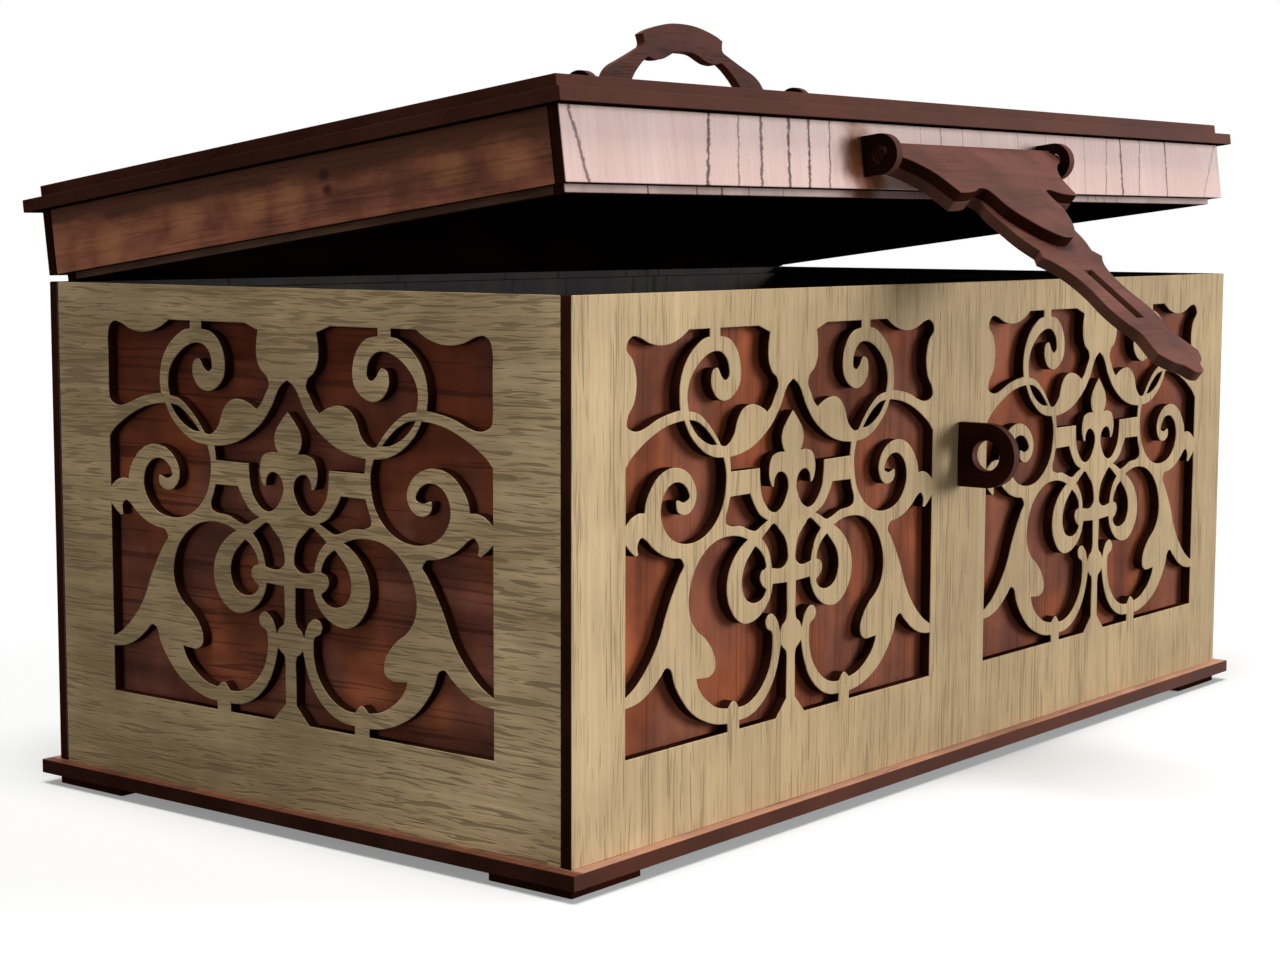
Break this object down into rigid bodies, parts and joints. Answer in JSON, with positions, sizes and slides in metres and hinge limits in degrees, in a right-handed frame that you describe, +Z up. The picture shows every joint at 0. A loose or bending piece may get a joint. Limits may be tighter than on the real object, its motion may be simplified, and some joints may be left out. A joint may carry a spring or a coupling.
{
  "type": "wooden keepsake box",
  "caption": "Rectangular wooden box with scroll-cut walls over closed liners, an overhanging hinged lid, a winged hasp over a staple and a folding arched handle.",
  "frame": {"origin": "on the surface that the feet stand on, under the middle of the whole object as it stands with its lid ajar and its hasp swung out", "axes": "+X along the front to the right, +Y from the front to the back, +Z up"},
  "size_m": [0.339, 0.2668, 0.2085],
  "materials": {
    "oak": "satin oak with burnt cut edges",
    "cherry": "satin red-brown cherry",
    "dark_wood": "satin dark red-brown stain",
    "crackled_paint": "matt pale paint with fine dark cracks",
    "pin_wood": "plain dowel"
  },
  "bodies": {
    "box": {"base_plate": "dark_wood", "foot_front_left": "dark_wood", "foot_front_right": "dark_wood", "foot_back_left": "dark_wood", "foot_back_right": "dark_wood", "front_fret_panel": "oak", "back_fret_panel": "oak", "left_fret_panel": "oak", "right_fret_panel": "oak", "front_liner": "cherry", "back_liner": "cherry", "left_liner": "cherry", "right_liner": "cherry", "staple": "dark_wood", "left_hinge_leaf_outer": "dark_wood", "left_hinge_leaf_inner": "dark_wood", "right_hinge_leaf_inner": "dark_wood", "right_hinge_leaf_outer": "dark_wood", "left_hinge_pin": "pin_wood", "right_hinge_pin": "pin_wood"},
    "lid": {"lid_front_panel": "crackled_paint", "lid_back_panel": "crackled_paint", "lid_left_panel": "dark_wood", "lid_right_panel": "dark_wood", "lid_front_lip": "crackled_paint", "lid_back_lip": "crackled_paint", "lid_left_lip": "crackled_paint", "lid_right_lip": "crackled_paint", "lid_frame_plate": "dark_wood", "lid_top_plate": "dark_wood", "left_hinge_lid_leaf": "dark_wood", "right_hinge_lid_leaf": "dark_wood", "hasp_bracket_left": "dark_wood", "hasp_bracket_right": "dark_wood", "handle_bracket_left": "dark_wood", "handle_bracket_right": "dark_wood"},
    "hasp": {"hasp_cover": "dark_wood", "hasp_arm": "dark_wood"},
    "handle": {"handle_arch": "dark_wood", "handle_cheek_left": "dark_wood", "handle_cheek_right": "dark_wood"}
  },
  "joints": [
    {"name": "lid_hinge", "type": "hinge", "parent": "box", "child": "lid", "pos_m": [0, 0.12525, 0.13475], "axis": [-1, 0, 0], "range_deg": [-7.39, 97.61]},
    {"name": "hasp_swing", "type": "hinge", "parent": "lid", "child": "hasp", "pos_m": [0, -0.06597, 0.16797], "axis": [-1, 0, 0], "range_deg": [-37.5, 135]},
    {"name": "handle_swing", "type": "hinge", "parent": "lid", "child": "handle", "pos_m": [0, 0.0283, 0.1865], "axis": [-1, 0, 0], "range_deg": [-134, 116]}
  ]
}
